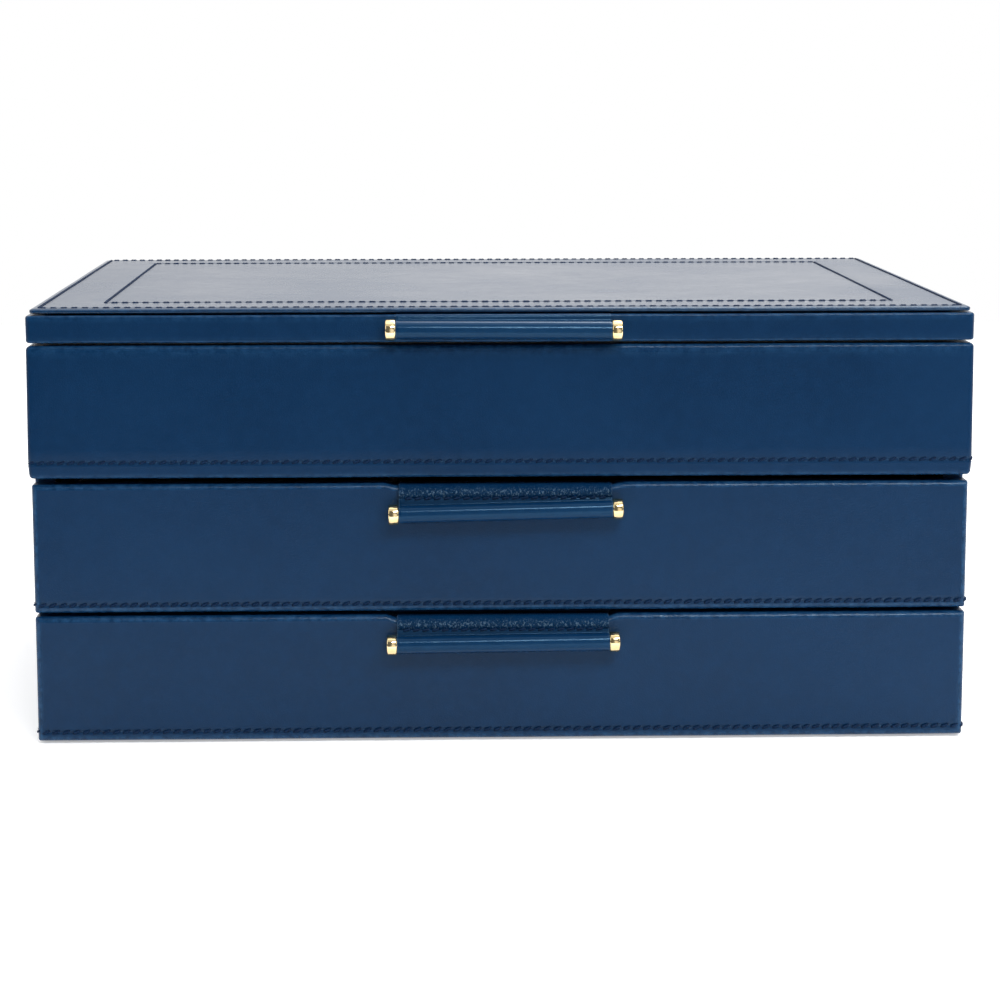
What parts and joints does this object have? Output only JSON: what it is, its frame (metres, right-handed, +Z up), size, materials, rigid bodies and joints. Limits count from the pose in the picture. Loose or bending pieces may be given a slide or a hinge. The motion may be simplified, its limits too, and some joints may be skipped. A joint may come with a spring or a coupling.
{
  "type": "leather jewellery case",
  "caption": "Rectangular leather-covered jewellery case: a hinged lid with a mirror over a lined compartment with ring rolls, and full-width drawers below, each with a leather and brass pull.",
  "frame": {"origin": "centre of the case's outline on the surface that it stands on, at the underside of the base felt", "axes": "+X to the right seen from the front, +Y from the drawer fronts towards the back, +Z up"},
  "size_m": [0.34, 0.2615, 0.1587],
  "materials": {
    "leather": "semi-gloss navy calf leather with a fine smooth grain and matching stitching",
    "lining": "short-napped suede cloth, warm grey",
    "cushion": "padded velvet, warm grey",
    "felt": "dark pressed felt",
    "board": "medium-density fibreboard, sealed edges",
    "brass": "polished and lacquered",
    "mirror": "silvered glass"
  },
  "bodies": {
    "case": {"base_felt": "felt", "base_board": "board", "carcass_side_left": "board", "carcass_side_right": "board", "carcass_back": "board", "drawer_shelf": "board", "carcass_cover": "leather", "tier_cover": "leather", "deck_board": "board", "wall_front": "board", "wall_back": "board", "wall_left": "board", "wall_right": "board", "compartment_lining": "lining", "divider_middle": "lining", "divider_front": "lining", "divider_back": "lining", "ring_roll_1": "cushion", "ring_roll_2": "cushion", "ring_roll_3": "cushion", "ring_roll_4": "cushion", "hinge_case_leaf_left": "brass", "hinge_case_leaf_right": "brass", "hinge_pin_left": "brass", "hinge_pin_right": "brass"},
    "lid": {"lid_band_cover": "leather", "lid_rail_front": "board", "lid_rail_back": "board", "lid_rail_left": "board", "lid_rail_right": "board", "lid_panel": "board", "lid_lining": "lining", "lid_mirror": "mirror", "lid_top_pad": "leather", "hinge_lid_leaf_left": "brass", "hinge_lid_leaf_right": "brass"},
    "upper_drawer": {"upper_front_cover": "leather", "upper_front_board": "board", "upper_drawer_left": "board", "upper_drawer_right": "board", "upper_drawer_back": "board", "upper_drawer_bottom": "board", "upper_drawer_lining": "lining", "upper_drawer_divider": "lining"},
    "lower_drawer": {"lower_front_cover": "leather", "lower_front_board": "board", "lower_drawer_left": "board", "lower_drawer_right": "board", "lower_drawer_back": "board", "lower_drawer_bottom": "board", "lower_drawer_lining": "lining", "lower_drawer_divider": "lining"},
    "lid_pull": {"lid_pull_strap": "leather", "lid_pull_bar": "brass"},
    "upper_pull": {"upper_pull_strap": "leather", "upper_pull_bar": "brass"},
    "lower_pull": {"lower_pull_strap": "leather", "lower_pull_bar": "brass"}
  },
  "joints": [
    {"name": "lid_hinge", "type": "hinge", "parent": "case", "child": "lid", "pos_m": [0, 0.1272, 0.1459], "axis": [-1, 0, 0], "range_deg": [0, 100]},
    {"name": "upper_drawer_slide", "type": "slide", "parent": "case", "child": "upper_drawer", "axis": [0, -1, 0], "range_m": [0, 0.17]},
    {"name": "lower_drawer_slide", "type": "slide", "parent": "case", "child": "lower_drawer", "axis": [0, -1, 0], "range_m": [0, 0.17]},
    {"name": "lid_pull_swing", "type": "hinge", "parent": "lid", "child": "lid_pull", "pos_m": [0.0004, -0.1259, 0.156], "axis": [-1, 0, 0], "range_deg": [0, 95]},
    {"name": "upper_pull_swing", "type": "hinge", "parent": "upper_drawer", "child": "upper_pull", "pos_m": [0.0011, -0.1248, 0.09], "axis": [-1, 0, 0], "range_deg": [0, 95]},
    {"name": "lower_pull_swing", "type": "hinge", "parent": "lower_drawer", "child": "lower_pull", "pos_m": [0.0002, -0.1248, 0.0417], "axis": [-1, 0, 0], "range_deg": [0, 95]}
  ]
}
